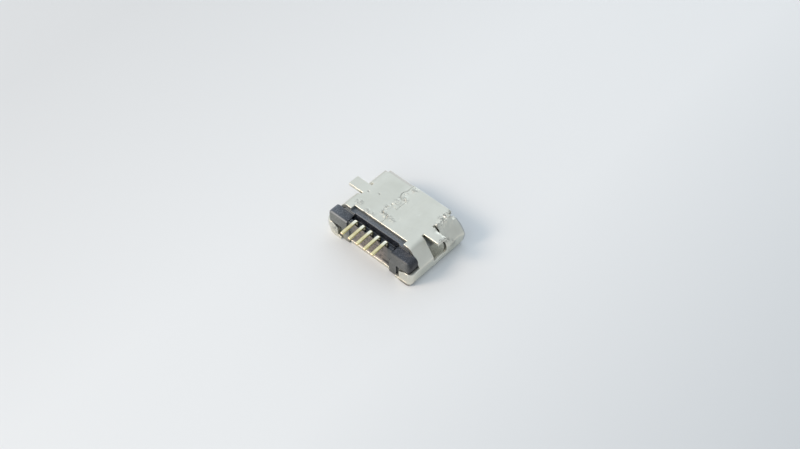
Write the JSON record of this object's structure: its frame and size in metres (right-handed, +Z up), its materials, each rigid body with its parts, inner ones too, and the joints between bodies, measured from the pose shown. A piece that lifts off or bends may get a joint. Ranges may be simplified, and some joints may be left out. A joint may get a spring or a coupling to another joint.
{
  "type": "micro usb socket",
  "caption": "Surface-mount micro USB socket: folded metal shell with a jigsaw seam and board wings, black plastic housing with a tongue, and bent contact terminals.",
  "frame": {"origin": "middle of the part's length and width, on the outside of the wide plate", "axes": "+X across the mouth, -Y out of the mouth, +Z up from the wide plate to the narrow plate"},
  "size_m": [0.0078, 0.0062, 0.0024],
  "materials": {
    "shell": "satin plating with small dents and scuffs",
    "housing": "fine moulded grain",
    "terminal": "pale gold plating, bare at the cut ends"
  },
  "bodies": {
    "root": {"shell": "shell", "housing": "housing", "terminal_1": "terminal", "terminal_2": "terminal", "terminal_3": "terminal", "terminal_4": "terminal", "terminal_5": "terminal"}
  },
  "joints": []
}
